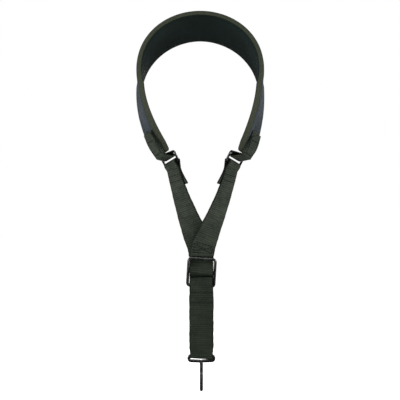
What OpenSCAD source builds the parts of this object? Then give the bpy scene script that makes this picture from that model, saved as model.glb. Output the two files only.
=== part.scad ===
// Saxophone neck strap: a padded neck loop, two wire rings, two webbing legs sewn into one strap,
// a wire slider that sets the length, and a bent wire hook.
// Millimetres. +Z runs up the hanging strap, -Y faces the viewer, and the origin is the hook's seat.

/* [Neck pad] */
// Half width of the neck loop, to the middle of the pad
loop_half_w = 60.7; // [58:0.1:62]
// Height of the loop's highest point above the hook seat
loop_top_z = 369.5; // [360:0.5:376]
// Height at which the loop is widest
loop_wide_z = 309.5; // [304:0.5:314]
// Half distance between the two ends of the pad
pad_end_x = 40; // [39:0.5:42]
// Height of the pad's ends
pad_end_z = 238; // [238:0.5:241]
// Width of the pad at the back of the neck
pad_w = 50; // [44:1:54]
// Width of the pad at its ends
pad_end_w = 28; // [26:0.5:32]
// Thickness of the whole pad
pad_t = 5; // [4:0.5:5.5]
// Thickness of each fabric skin
skin_t = 0.7; // [0.4:0.1:1]

/* [Webbing] */
// Width of the webbing
web_w = 25; // [23:0.5:25]
// Thickness of the webbing
web_t = 1.6; // [1.2:0.1:1.7]
// Length of the fold-back below each ring
fold_len = 21; // [18:1:26]

/* [Rings] */
// Inner width of a ring
ring_w = 28; // [28:0.5:30]
// Inner height of a ring
ring_h = 6.4; // [6.2:0.1:8]
// Wire diameter of a ring
ring_wire = 2.4; // [2.2:0.1:2.6]

/* [Slider] */
// Outer width of the slider
slider_w = 30.4; // [30.2:0.1:31]
// Height of the slider's top bar
slider_top_z = 132.6; // [131.6:0.1:133]
// Distance between the slider's top and bottom bars
slider_h = 28; // [28:0.5:29]
// Wire diameter of the slider
slider_wire = 3; // [2.8:0.1:3]
// Lean of the slider on the strap, in degrees
slider_lean = 3.4; // [0:0.1:3.4]

/* [Hook] */
// Outer width of the hook's eye
eye_w = 29; // [28.8:0.1:31]
// Height of the eye's top bar above the hook seat
eye_z = 33; // [32.5:0.1:35]
// Wire diameter of the hook
hook_wire = 2.8; // [2.6:0.1:3]
// Inner radius of the hook's bend
hook_r = 5; // [4.5:0.5:6]
// Height of the hook's tip
hook_tip_z = 17; // [14:0.5:18]

/* [Hidden] */

left = -1;
right = 1;
gap = 0.1;                          // air left between pieces that only touch
play = 0.15;                        // air between a fold of webbing and the bar inside it
layer = (web_t + gap) / 2;          // offset of one of two stacked webbing layers from their shared face
eye_y = hook_r + hook_wire / 2;     // depth of the hook's eye and shank behind its seat
strap_y = eye_y + 0.5;              // depth of the shared face between the two layers of the yoke
pad_steps = 32;
leg_steps = 24;
turn_steps = 12;

// Neck loop: the angle between the pad's width and the plane of the loop, and the loop's sway
twist_top = 116.5;
twist_side = 85.7;
twist_end = 65;
end_slant = 37;                     // lean of the pad's ends, from vertical
top_shift = -1.2;                   // sideways offset at the back of the neck
end_shift = 2.3;                    // sideways offset at the pad's ends
side_w = 0.96 * pad_w;              // pad width where the loop is widest

// Rings
ring_x = 32.83;
ring_z = 234.1;
ring_shift = 1;
ring_slant = 28;
ring_twist = 60.75;
ring_bend = 2.4;

// Legs
leg_slant = 14.8;
leg_pull = 60;                      // how far the leg keeps to its first slant
foot_x = 0.73;
foot_z = 137.5;
foot_pull = 11.4;
flat_from = [0.69, 0.9];            // how far down the left and the right leg stop turning
untwist = 1.4;

// ---------- vectors and curves ----------
function unit(v) = v / norm(v);
function mix(a, b, t) = a + (b - a) * t;
function clamp(t) = min(max(t, 0), 1);
function ease(t) = clamp(t) * clamp(t) * (3 - 2 * clamp(t));
function heading(slant) = [-sin(slant), -cos(slant)];
function bezier(p, t) =
    pow(1 - t, 3) * p[0] + 3 * pow(1 - t, 2) * t * p[1] + 3 * (1 - t) * t * t * p[2] + t * t * t * p[3];
function bezier_dir(p, t) =
    unit(pow(1 - t, 2) * (p[1] - p[0]) + 2 * (1 - t) * t * (p[2] - p[1]) + t * t * (p[3] - p[2]));

// ---------- frames along the strap: [centre, along, width, outward] ----------
// flat is a place in the right half's plane and dir its heading. The width turns out of the loop's
// plane, towards the viewer, by twist. The far edge of a strip of width w stays at the depth y.
function strap_frame(side, flat, dir, twist, w, y, shift) =
    let (
        along = [side * dir[0], 0, dir[1]],
        inward = [side * dir[1], 0, -dir[0]],
        width = cos(twist) * inward + sin(twist) * [0, -1, 0]
    )
    [[side * flat[0] + shift, y - w / 2 * sin(twist), flat[1]], along, width, side * cross(width, along)];
function moved(f, along = 0, across = 0, out = 0) =
    [f[0] + along * f[1] + across * f[2] + out * f[3], f[1], f[2], f[3]];
function turned(f) = [f[0], f[2], -f[1], f[3]];

// ---------- neck loop: t runs from 0 at the back of the neck to 2 at the end of an anchor tab ----------
pad_to = 1.9;                       // where the pad itself ends
pad_end = [pad_end_x, pad_end_z];
upper_curve = [
    [0, loop_top_z], [0.48 * loop_half_w, loop_top_z],
    [loop_half_w, mix(loop_wide_z, loop_top_z, 0.67)], [loop_half_w, loop_wide_z]
];
lower_curve = [
    [loop_half_w, loop_wide_z], [loop_half_w, mix(loop_wide_z, pad_end_z, 0.49)],
    pad_end - 5 * heading(end_slant), pad_end
];
function pad_width(t) = t < 1 ? mix(pad_w, side_w, ease(t)) : mix(side_w, pad_end_w, ease(t - 1));
function pad_twist(t) =
    t < 1
        ? mix(twist_top, twist_side, pow(t, 2.6))
        : mix(twist_side, twist_end, pow(clamp(1.45 * (t - 1)), 1.15));
function pad_frame(side, t) =
    let (p = t < 1 ? upper_curve : lower_curve, u = t < 1 ? t : t - 1)
    strap_frame(side, bezier(p, u), bezier_dir(p, u), pad_twist(t), pad_width(t), strap_y,
        mix(top_shift, end_shift, ease(t - 1)));

// ---------- rings and legs ----------
function ring_frame(side) =
    strap_frame(side, [ring_x, ring_z], heading(ring_slant), ring_twist, web_w, strap_y - 1.2, ring_shift);
ring_bar = (ring_h + ring_wire) / 2;
leg_top = [ring_x, ring_z] + ring_bar * heading(ring_slant);
foot = [foot_x, foot_z];
leg_curve = [leg_top, leg_top + leg_pull * heading(leg_slant), foot + [0, foot_pull], foot];
// t runs from 0 at the ring to 1 at the foot of the yoke
function leg_frame(side, t) =
    let (flat = flat_from[side == left ? 0 : 1])
    strap_frame(side, bezier(leg_curve, t), bezier_dir(leg_curve, t),
        ring_twist * (1 - pow(clamp(t / flat), untwist)), web_w,
        strap_y + mix(-1.2, -side * layer, ease(1.6 * t)), ring_shift * (1 - ease(t / 0.7)));

// ---------- strips of webbing and pad, swept through [centre, half width, half thickness] ----------
function section(f, w, t, out = 0) = [f[0] + out * f[3], w / 2 * f[2], t / 2 * f[3]];
function corners(s) = [s[0] - s[1] - s[2], s[0] + s[1] - s[2], s[0] + s[1] + s[2], s[0] - s[1] + s[2]];
function volume_sign(s) = cross(s[0][1], s[0][2]) * (s[1][0] - s[0][0]);
// Sections from back_from on run back over the first ones. Both broad faces of a layer, and both
// layers, are split along the same diagonal, so that twisted layers stay parallel. A ribbon that
// lies on another one whose sections run the other way is split along the other diagonal.
module ribbon(sections, back_from = 1000, other_way = false) {
    last = 4 * (len(sections) - 1);
    sides = [
        for (i = [0 : len(sections) - 2], k = [0 : 3])
            let (a = 4 * i + k, b = 4 * i + (k + 1) % 4)
            each ((k == 0) == (i < back_from)) != other_way
                ? [[a, b + 4, b], [a, a + 4, b + 4]]
                : [[a, a + 4, b], [a + 4, b + 4, b]]
    ];
    caps = [[0, 1, 2], [0, 2, 3], [last, last + 2, last + 1], [last, last + 3, last + 2]];
    faces = concat(sides, caps);
    outward = volume_sign(sections) > 0;
    polyhedron(
        [for (s = sections) each corners(s)],
        outward ? faces : [for (f = faces) [f[0], f[2], f[1]]]
    );
}

// A half turn of webbing round a bar along f's width; facing +1 bulges forward along f, -1 backward
function half_turn(f, wire, facing) =
    let (r = wire / 2 + play + web_t / 2)
    [
        for (i = [0 : turn_steps])
            let (a = -90 + 180 * i / turn_steps, out = facing * cos(a) * f[1] + sin(a) * f[3])
            [f[0] + r * out, web_w / 2 * f[2], web_t / 2 * out]
    ];
function reversed(v) = [for (i = [len(v) - 1 : -1 : 0]) v[i]];
function flipped(v) = [for (s = v) [s[0], s[1], -s[2]]];
function middle_of(first) = first + turn_steps / 2;

// ---------- bent wire: straight rods joined by round bends ----------
module on_frame(origin, x, z) {
    y = cross(z, x);
    multmatrix([
        [x[0], y[0], z[0], origin[0]],
        [x[1], y[1], z[1], origin[1]],
        [x[2], y[2], z[2], origin[2]],
        [0, 0, 0, 1]
    ]) children();
}
function any_normal(v) = unit(cross(v, abs(v[0]) < 0.9 ? [1, 0, 0] : [0, 1, 0]));
module rod(a, b, d) {
    z = unit(b - a);
    if (norm(b - a) > 0.01) on_frame(a, any_normal(z), z) cylinder(h = norm(b - a), d = d, $fn = 32);
}
// A rounded rectangle of wire on the XZ plane; w, h and r are measured on the wire's centreline
module wire_rectangle(w, h, r, d) {
    for (side = [-1, 1]) {
        rod([-w / 2 + r, 0, side * h / 2], [w / 2 - r, 0, side * h / 2], d);
        rod([side * w / 2, 0, -h / 2 + r], [side * w / 2, 0, h / 2 - r], d);
    }
    for (turn = [0 : 3])
        let (x = (turn == 0 || turn == 3 ? 1 : -1) * (w / 2 - r), z = (turn < 2 ? 1 : -1) * (h / 2 - r))
        translate([x, 0, z]) rotate([90, 0, 0]) rotate([0, 0, 90 * turn]) wire_arc(90, r, d);
}
module wire_arc(angle, r, d) {
    rotate_extrude(angle = angle, $fn = 96) translate([r, 0]) circle(d = d, $fn = 32);
}

// ---------- stitches: short threads lying on a face ----------
thread_d = 0.6;
stitch_len = 2.8;
stitch_pitch = 4.4;
module stitches(frames, out) {
    for (f = frames) {
        mid = f[0] + (out + thread_d / 2 + play) * f[3];
        rod(mid - stitch_len / 2 * f[1], mid + stitch_len / 2 * f[1], thread_d);
    }
}
function row_across(f, along) = [for (k = [-2 : 2]) turned(moved(f, along, k * stitch_pitch))];

// ---------- pad ----------
function pad_mark(i) = pad_to * i / pad_steps;
module pad_layer(t, out, trim) {
    ribbon([
        for (i = [-pad_steps : pad_steps])
            let (s = pad_mark(abs(i)), f = pad_frame(i < 0 ? left : right, s))
            section(f, pad_width(s) - 2 * trim, t, out)
    ]);
}
skin_out = (pad_t - skin_t) / 2;
module pad_foam_core() {
    color([0.26, 0.27, 0.22]) pad_layer(pad_t - 2 * skin_t - 2 * gap, 0, 0);
}
module pad_outer_cover() {
    color([0.25, 0.26, 0.28]) pad_layer(skin_t, skin_out, 0.3);
}
module pad_inner_lining() {
    color([0.09, 0.13, 0.12]) pad_layer(skin_t, -skin_out, 0.3);
}

// ---------- anchor tabs, sewn to the pad's outer face and folded round the rings' upper bars ----------
tab_from = 25;                      // the pad section where a tab starts
tab_steps = pad_steps - tab_from;
tab_turn = 54;                      // how far a tab dips inwards, past the pad's end, to its ring
tab_out = pad_t / 2 + gap + play + web_t / 2;
function tab_face(side) = [for (i = [tab_from : pad_steps]) pad_frame(side, pad_mark(i))];
function dipped(f, angle) =
    [f[0], cos(angle) * f[1] - sin(angle) * f[3], f[2], cos(angle) * f[3] + sin(angle) * f[1]];
module anchor_tab(side) {
    face = tab_face(side);
    turn = half_turn(dipped(moved(ring_frame(side), -ring_bar), tab_turn), ring_wire, 1);
    lower = concat(face, [moved(face[tab_steps], 0.7)]);
    upper = concat([for (i = [1 : tab_steps]) face[i]], [moved(face[tab_steps], 1.2)]);
    ribbon(concat(
        [for (f = lower) section(f, web_w, web_t, tab_out)],
        flipped(turn),
        flipped(reversed([for (f = upper) section(f, web_w, web_t, tab_out + 2 * layer)]))
    ), middle_of(tab_steps + 1), side == left);
}
module left_anchor_tab() {
    color([0.20, 0.23, 0.20]) anchor_tab(left);
}
module right_anchor_tab() {
    color([0.20, 0.23, 0.20]) anchor_tab(right);
}
tab_stitch_out = tab_out + 2 * layer + web_t / 2 + gap;
module tab_stitching(side) {
    for (t = [1.57, 1.84]) stitches(row_across(pad_frame(side, t), 0), tab_stitch_out);
    for (across = [-10.5, 10.5], t = [1.63, 1.7, 1.77])
        stitches([moved(pad_frame(side, t), 0, across)], tab_stitch_out);
}
module left_tab_stitching() {
    color([0.10, 0.11, 0.10]) tab_stitching(left);
}
module right_tab_stitching() {
    color([0.10, 0.11, 0.10]) tab_stitching(right);
}

// ---------- rings ----------
module wire_loop(f) {
    on_frame(f[0], f[2], -f[1]) wire_rectangle(ring_w + ring_wire, ring_h + ring_wire, ring_bend, ring_wire);
}
module left_ring() {
    color([0.05, 0.05, 0.05]) wire_loop(ring_frame(left));
}
module right_ring() {
    color([0.05, 0.05, 0.05]) wire_loop(ring_frame(right));
}

// ---------- legs: each is folded round its ring's lower bar, then runs down to the yoke ----------
fold_from = 0.037;
fold_to = fold_len / 165;
fold_steps = 6;
module ring_fold(side) {
    marks = [for (i = [0 : fold_steps]) mix(fold_from, fold_to, i / fold_steps)];
    turn = half_turn(moved(ring_frame(side), ring_bar), ring_wire, -1);
    tail = [for (t = marks) section(leg_frame(side, t), web_w, web_t, -layer)];
    ribbon(concat(
        flipped(reversed(tail)),
        turn,
        [for (t = marks) section(leg_frame(side, t), web_w, web_t, layer)]
    ), middle_of(fold_steps));
}
module left_ring_fold() {
    color([0.20, 0.23, 0.20]) ring_fold(left);
}
module right_ring_fold() {
    color([0.20, 0.23, 0.20]) ring_fold(right);
}
module fold_stitching(side) {
    for (t = [0.55, 0.85])
        stitches(row_across(leg_frame(side, t * fold_to), 0), layer + web_t / 2);
}
module left_fold_stitching() {
    color([0.10, 0.11, 0.10]) fold_stitching(left);
}
module right_fold_stitching() {
    color([0.10, 0.11, 0.10]) fold_stitching(right);
}
module leg(side) {
    from = fold_to + 0.005;
    ribbon([
        for (i = [0 : leg_steps])
            let (t = mix(from, 1, i / leg_steps))
            section(leg_frame(side, t), web_w, web_t, mix(layer, 0, ease(1.8 * (t - from))))
    ]);
}
module left_leg() {
    color([0.20, 0.23, 0.20]) leg(left);
}
module right_leg() {
    color([0.20, 0.23, 0.20]) leg(right);
}

// A box with a cross in it, sewn through both legs. Its corners are [place across, place down] the right leg
box_half_w = 9.8;
box_top = 0.77;
box_foot = 0.965;
function on_yoke(p) =
    let (f = leg_frame(right, p[1]))
    f[0] + p[0] * f[2] + (web_t / 2 + thread_d / 2 + play) * f[3];
module seam(from, to, count) {
    for (k = [0 : count - 1])
        rod(on_yoke(mix(from, to, (k + 0.2) / count)), on_yoke(mix(from, to, (k + 0.8) / count)), thread_d);
}
module yoke_stitching() {
    color([0.10, 0.11, 0.10]) {
        for (t = [box_top, box_foot]) seam([-box_half_w, t], [box_half_w, t], 5);
        for (x = [-box_half_w, box_half_w]) seam([x, box_top + 0.03], [x, box_foot - 0.025], 2);
        seam([-8.6, box_top + 0.03], [8.6, box_foot - 0.03], 3);
        seam([8.6, box_top + 0.03], [-8.6, box_foot - 0.03], 4);
    }
}

// ---------- profiles of the strap below the yoke: [y, z] points swept across its width ----------
module across_strap(w) {
    rotate([90, 0, 90]) linear_extrude(w, center = true) children();
}
function strip_normal(p, i) =
    let (d = unit(p[min(i + 1, len(p) - 1)] - p[max(i - 1, 0)])) [-d[1], d[0]];
module strip(p) {
    polygon(concat(
        [for (i = [0 : len(p) - 1]) p[i] + web_t / 2 * strip_normal(p, i)],
        [for (i = [len(p) - 1 : -1 : 0]) p[i] - web_t / 2 * strip_normal(p, i)]
    ));
}
// A half turn from the viewer's side to the far side of a bar, over it when up is 1 and under it when -1
function turn_over(center, out, up) = [
    for (i = [0 : turn_steps])
        let (a = 180 * i / turn_steps) center + out * [-cos(a), up * sin(a)]
];

frame_y = strap_y - gap / 2 - slider_wire / 2;
slider_bottom_z = slider_top_z - slider_h;
center_bar_z = slider_top_z - 13;
center_bar_d = 2.4;
run_y = strap_y + layer;                // behind the slider's top bar
run_top_z = foot_z - gap;
weave_y = frame_y - center_bar_d / 2 - gap - play - web_t / 2;
weave_w = web_w - 2;                    // the webbing crowds together between the slider's sides
fold_out = slider_wire / 2 + play + web_t / 2;
front_y = frame_y - fold_out;
back_y = frame_y + fold_out + gap + web_t;
slack_z = slider_bottom_z + 3;          // the fold stands up off its bar
eye_out = hook_wire / 2 + play + web_t / 2;
tail_z = 84;
loop_w = 22.4;                          // webbing drawn in between the slider's sides
eye_fold_w = 21;

module strap_upper_run() {
    color([0.18, 0.20, 0.17]) across_strap(web_w) strip([[run_y, run_top_z], [run_y, slider_top_z - 3.4]]);
}
module strap_slider_weave() {
    color([0.14, 0.16, 0.13]) across_strap(weave_w) strip([
        [run_y, slider_top_z - 3.6], [run_y - 0.3, slider_top_z - 5.6],
        [weave_y + 1.2, center_bar_z + 3.4], [weave_y, center_bar_z + 0.9],
        [weave_y + 0.1, center_bar_z - 1.7],
        [strap_y + 0.6, center_bar_z - 5.8], [back_y - 0.4, center_bar_z - 8.4],
        [back_y, center_bar_z - 11.5], [back_y, slider_bottom_z - 2.6]
    ]);
}
module strap_slider_fold() {
    tail_y = front_y + 2 * layer;
    color([0.18, 0.20, 0.17]) across_strap(loop_w) strip(concat(
        [[front_y, slider_bottom_z - 4.4]],
        turn_over([frame_y, slack_z], fold_out, 1),
        [
            [frame_y + fold_out, slider_bottom_z - 2.6], [tail_y + 0.8, slider_bottom_z - 7.5],
            [tail_y + 0.2, slider_bottom_z - 11], [tail_y + 0.45, tail_z]
        ]
    ));
}
module strap_front_run() {
    color([0.18, 0.20, 0.17]) across_strap(web_w)
        strip([[front_y, slider_bottom_z - 4.5], [eye_y - eye_out, eye_z + 6.6]]);
}
module strap_back_run() {
    color([0.16, 0.18, 0.15]) across_strap(web_w)
        strip([[back_y, slider_bottom_z - 2.8], [eye_y + eye_out, eye_z + 6.6]]);
}
module strap_hook_fold() {
    color([0.16, 0.18, 0.15]) across_strap(eye_fold_w) strip(concat(
        [[eye_y - eye_out, eye_z + 6.4]],
        turn_over([eye_y, eye_z], eye_out, -1),
        [[eye_y + eye_out, eye_z + 6.4]]
    ));
}
module slider_fold_stitching() {
    color([0.10, 0.11, 0.10])
        for (z = [slider_bottom_z - 7.5, tail_z + 3])
            stitches(row_across([[0, front_y, z], [0, 0, -1], [1, 0, 0], [0, -1, 0]], 0), web_t / 2);
}

// ---------- slider ----------
slider_bend = 2.8;
bar_span = slider_w - slider_wire;
module leaning() {
    translate([0, frame_y, slider_top_z - slider_h / 2]) rotate([0, slider_lean, 0]) children();
}
module slider_frame() {
    color([0.05, 0.05, 0.05]) leaning() wire_rectangle(bar_span, slider_h, slider_bend, slider_wire);
}
module slider_center_bar() {
    half = bar_span / 2;
    z = center_bar_z - slider_top_z + slider_h / 2;
    color([0.05, 0.05, 0.05]) leaning() difference() {
        rod([-half, 0, z], [half, 0, z], center_bar_d);
        for (side = [-1, 1]) rod([side * half, 0, z - 4], [side * half, 0, z + 4], slider_wire + gap);
    }
}

// ---------- hook: one wire, bent into an eye and a hook ----------
eye_h = 7;
eye_bend = 3;
module hook() {
    tip_z = hook_tip_z - hook_wire / 2;
    color([0.05, 0.05, 0.05]) {
        translate([0, eye_y, eye_z - eye_h / 2])
            wire_rectangle(eye_w - hook_wire, eye_h, eye_bend, hook_wire);
        rod([0, eye_y, eye_z - eye_h], [0, eye_y, hook_r], hook_wire);
        translate([0, 0, hook_r]) rotate([-90, 0, 90]) wire_arc(180, eye_y, hook_wire);
        rod([0, -eye_y, hook_r], [0, -eye_y, tip_z], hook_wire);
        translate([0, -eye_y, tip_z]) sphere(d = hook_wire, $fn = 32);
    }
}

pad_foam_core();
pad_outer_cover();
pad_inner_lining();
left_anchor_tab();
right_anchor_tab();
left_tab_stitching();
right_tab_stitching();
left_ring();
right_ring();
left_ring_fold();
right_ring_fold();
left_fold_stitching();
right_fold_stitching();
left_leg();
right_leg();
yoke_stitching();
strap_upper_run();
slider_frame();
slider_center_bar();
strap_slider_weave();
strap_slider_fold();
slider_fold_stitching();
strap_back_run();
strap_front_run();
strap_hook_fold();
hook();
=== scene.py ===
"""Looks of the saxophone neck strap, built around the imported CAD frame.

Everything is laid out in millimetres, as in the CAD source, and scaled to metres when a mesh is made.
+Z runs up the hanging strap, -Y faces the camera, and the origin is the hook's seat.
Webbing and pad are swept along nearly the same paths as the CAD pieces they stand for. The hook's wire is
thicker than in the CAD source, each ring fold's tail is longer, and each tab narrows towards its ring.
"""

import math

import bpy
import numpy as np
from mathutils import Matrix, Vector


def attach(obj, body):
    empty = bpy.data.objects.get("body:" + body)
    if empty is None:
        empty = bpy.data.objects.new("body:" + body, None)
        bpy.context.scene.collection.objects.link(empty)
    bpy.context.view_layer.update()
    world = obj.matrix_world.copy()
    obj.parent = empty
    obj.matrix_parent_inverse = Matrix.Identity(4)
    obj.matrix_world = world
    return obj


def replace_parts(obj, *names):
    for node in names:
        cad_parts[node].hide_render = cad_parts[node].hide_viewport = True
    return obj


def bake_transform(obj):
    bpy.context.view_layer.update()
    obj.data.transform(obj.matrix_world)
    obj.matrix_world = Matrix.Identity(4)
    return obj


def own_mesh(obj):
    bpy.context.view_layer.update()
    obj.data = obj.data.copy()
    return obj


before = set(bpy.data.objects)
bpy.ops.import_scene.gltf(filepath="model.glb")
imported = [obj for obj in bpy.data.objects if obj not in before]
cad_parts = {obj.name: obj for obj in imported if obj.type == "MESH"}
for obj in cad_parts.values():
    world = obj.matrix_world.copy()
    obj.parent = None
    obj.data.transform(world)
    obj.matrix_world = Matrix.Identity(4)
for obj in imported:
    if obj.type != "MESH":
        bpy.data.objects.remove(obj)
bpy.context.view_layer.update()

MM = 0.001
LEFT, RIGHT = -1, 1
X, Y = np.eye(3)[:2]

# ---------- sizes, in millimetres and degrees, close to those of the CAD source ----------
LOOP_HALF_W, LOOP_TOP_Z, LOOP_WIDE_Z = 60.7, 369.5, 309.5
PAD_END_X, PAD_END_Z, PAD_END_SLANT = 40.0, 238.0, 37.0
PAD_W, PAD_SIDE_W, PAD_END_W = 50.0, 48.0, 28.0
PAD_T, SKIN_T = 5.0, 0.7
TWIST_TOP, TWIST_SIDE, TWIST_END = 116.5, 85.7, 65.0
TOP_SHIFT, END_SHIFT = -1.2, 2.3
WEB_W, WEB_T = 25.0, 1.6
LAYER = 0.85
STRAP_Y = 6.9
RING_X, RING_Z, RING_SHIFT, RING_SLANT, RING_TWIST = 32.83, 234.1, 1.0, 28.0, 60.75
RING_BAR, RING_TURN, RING_FORWARD = 4.4, 2.85, 1.2
LEG_SLANT, LEG_PULL, FOOT_X, FOOT_Z, FOOT_PULL = 14.8, 60.0, 0.73, 137.5, 11.4
FLAT_FROM = {LEFT: 0.69, RIGHT: 0.9}
FOLD_FROM, FOLD_TO = 0.037, 21 / 165
PAD_TO, TAB_FROM, TAB_DIP = 1.9, 1.484, 54.0
SLIDER_Y, CENTER_BAR_Z = 5.35, 119.6
RUN_Y, FRONT_Y, BACK_Y = 7.75, 2.9, 9.5
FRONT_TOP_Z, BACK_TOP_Z, RUN_BOTTOM_Z = 100.1, 101.8, 39.6
EYE_Y, EYE_Z, EYE_TURN = 6.4, 33.0, 2.6
HOOK_R, WIRE_R = 6.4, 1.7

# ---------- looks ----------
RIB_PITCH = 2.0
RIB_HEIGHT = 0.16
SEAL_LENGTH, SEAL_THIN = 0.8, 0.55
CUT_REACH = 9.0
YARN_PITCH = 1.25


# ---------- vectors and curves ----------
def unit(v):
    v = np.asarray(v, float)
    return v / np.maximum(np.linalg.norm(v, axis=-1, keepdims=True), 1e-12)


def mix(a, b, t):
    return np.asarray(a, float) * (1 - t) + np.asarray(b, float) * t


def clamp(t):
    return min(max(t, 0.0), 1.0)


def ease(t):
    t = clamp(t)
    return t * t * (3 - 2 * t)


def heading(slant):
    return np.array([-math.sin(math.radians(slant)), -math.cos(math.radians(slant))])


def bezier(p, t):
    return (1 - t) ** 3 * p[0] + 3 * (1 - t) ** 2 * t * p[1] + 3 * (1 - t) * t * t * p[2] + t ** 3 * p[3]


def bezier_dir(p, t):
    return unit((1 - t) ** 2 * (p[1] - p[0]) + 2 * (1 - t) * t * (p[2] - p[1]) + t * t * (p[3] - p[2]))


def strap_frame(side, flat, direction, twist, w, y, shift):
    """(centre, along, width, outward) of a strip of width w. Its far edge stays at depth y as it twists."""
    turn = math.radians(twist)
    along = np.array([side * direction[0], 0, direction[1]])
    inward = np.array([side * direction[1], 0, -direction[0]])
    width = math.cos(turn) * inward - math.sin(turn) * Y
    centre = np.array([side * flat[0] + shift, y - w / 2 * math.sin(turn), flat[1]])
    return centre, along, width, side * np.cross(width, along)


UPPER_CURVE = np.array([
    [0, LOOP_TOP_Z], [0.48 * LOOP_HALF_W, LOOP_TOP_Z],
    [LOOP_HALF_W, mix(LOOP_WIDE_Z, LOOP_TOP_Z, 0.67)], [LOOP_HALF_W, LOOP_WIDE_Z]])
PAD_END = np.array([PAD_END_X, PAD_END_Z])
LOWER_CURVE = np.array([
    [LOOP_HALF_W, LOOP_WIDE_Z], [LOOP_HALF_W, mix(LOOP_WIDE_Z, PAD_END_Z, 0.49)],
    PAD_END - 5 * heading(PAD_END_SLANT), PAD_END])
LEG_TOP = np.array([RING_X, RING_Z]) + RING_BAR * heading(RING_SLANT)
FOOT = np.array([FOOT_X, FOOT_Z])
LEG_CURVE = np.array([LEG_TOP, LEG_TOP + LEG_PULL * heading(LEG_SLANT), FOOT + [0, FOOT_PULL], FOOT])


def pad_width(t):
    return mix(PAD_W, PAD_SIDE_W, ease(t)) if t < 1 else mix(PAD_SIDE_W, PAD_END_W, ease(t - 1))


def pad_frame(side, t):
    if t < 1:
        curve, u, twist = UPPER_CURVE, t, mix(TWIST_TOP, TWIST_SIDE, t ** 2.6)
    else:
        curve, u, twist = LOWER_CURVE, t - 1, mix(TWIST_SIDE, TWIST_END, clamp(1.45 * (t - 1)) ** 1.15)
    shift = float(mix(TOP_SHIFT, END_SHIFT, ease(t - 1)))
    return strap_frame(side, bezier(curve, u), bezier_dir(curve, u), float(twist), float(pad_width(t)),
                       STRAP_Y, shift)


def ring_frame(side):
    return strap_frame(side, (RING_X, RING_Z), heading(RING_SLANT), RING_TWIST, WEB_W, STRAP_Y - RING_FORWARD,
                       RING_SHIFT)


def leg_frame(side, t):
    twist = RING_TWIST * (1 - clamp(t / FLAT_FROM[side]) ** 1.4)
    depth = STRAP_Y + mix(-RING_FORWARD, -side * LAYER, ease(1.6 * t))
    return strap_frame(side, bezier(LEG_CURVE, t), bezier_dir(LEG_CURVE, t), twist, WEB_W, float(depth),
                       RING_SHIFT * (1 - ease(t / 0.7)))


class Path:
    """A strip's centreline with its width and face directions and half sizes, read by the length along it."""

    def __init__(self, stations):
        columns = [np.array(column, float) for column in zip(*stations)]
        steps = np.linalg.norm(np.diff(columns[0], axis=0), axis=1)
        self.v = np.concatenate([[0.0], np.cumsum(steps)])
        self.table = np.column_stack(columns)
        self.length = self.v[-1]

    def at(self, v):
        s = np.stack([np.interp(v, self.v, column) for column in self.table.T], -1)
        centre, width, out = s[..., 0:3], unit(s[..., 3:6]), s[..., 6:9]
        out = unit(out - (out * width).sum(-1, keepdims=True) * width)
        return centre, width, out, s[..., 9], s[..., 10]


def station(f, out=0.0, half_w=WEB_W / 2, half_t=WEB_T / 2, face=1):
    return f[0] + out * f[3], f[2], face * f[3], half_w, half_t


def half_turn(f, bar, facing, face=1):
    """Stations of a half turn round a bar at distance `bar` along frame f, bulging along `facing`."""
    centre = f[0] + bar * f[1]
    rows = []
    for angle in np.radians(np.linspace(-90, 90, 25)):
        out = facing * math.cos(angle) * f[1] + math.sin(angle) * f[3]
        rows.append((centre + RING_TURN * out, f[2], face * out, WEB_W / 2, WEB_T / 2))
    return rows


# ---------- meshes ----------
def make_mesh(name, points, faces, material, strip_map=None, crease=50):
    """A mesh object from points in millimetres. strip_map is (across, along, face) for the fabric shaders."""
    points = np.asarray(points, float).reshape(-1, 3)
    mesh = bpy.data.meshes.new(name)
    mesh.from_pydata((points * MM).tolist(), [], faces)
    mesh.polygons.foreach_set("use_smooth", [True] * len(mesh.polygons))
    mesh.set_sharp_from_angle(angle=math.radians(crease))
    if strip_map is not None:
        layer = mesh.attributes.new("strip_map", "FLOAT_VECTOR", "POINT")
        layer.data.foreach_set("vector", np.asarray(strip_map, np.float32).ravel())
    mesh.materials.append(material)
    obj = bpy.data.objects.new(name, mesh)
    bpy.context.scene.collection.objects.link(obj)
    return obj


def tube_faces(rows, ring, first=0):
    """Quads between `rows` rings of `ring` points, with both ends closed."""
    faces = []
    for i in range(rows - 1):
        a = first + i * ring
        faces += [(a + k, a + (k + 1) % ring, a + ring + (k + 1) % ring, a + ring + k) for k in range(ring)]
    last = first + (rows - 1) * ring
    faces.append(tuple(range(first + ring - 1, first - 1, -1)))
    faces.append(tuple(range(last, last + ring)))
    return faces


def outward(points, faces, rows, ring):
    """The same faces, turned so that they face out of the first tube."""
    p = points.reshape(rows, ring, 3)
    middle = p.mean(1)
    i = rows // 2
    a, b = p[i, 0] - middle[i], p[i, 1] - middle[i]
    forward = middle[min(i + 1, rows - 1)] - middle[i - 1]
    return faces if np.dot(np.cross(a, b), forward) > 0 else [f[::-1] for f in faces]


def loft(name, path, v, across, out, material, strip_map, crease=50):
    """A closed slab: row i, ring point k lies at length v, `across` its width and `out` from its face."""
    centre, width, face, _, _ = path.at(v)
    points = centre + across[..., None] * width + out[..., None] * face
    rows, ring = across.shape
    faces = outward(points.reshape(-1, 3), tube_faces(rows, ring), rows, ring)
    return make_mesh(name, points, faces, material, strip_map, crease)


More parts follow.
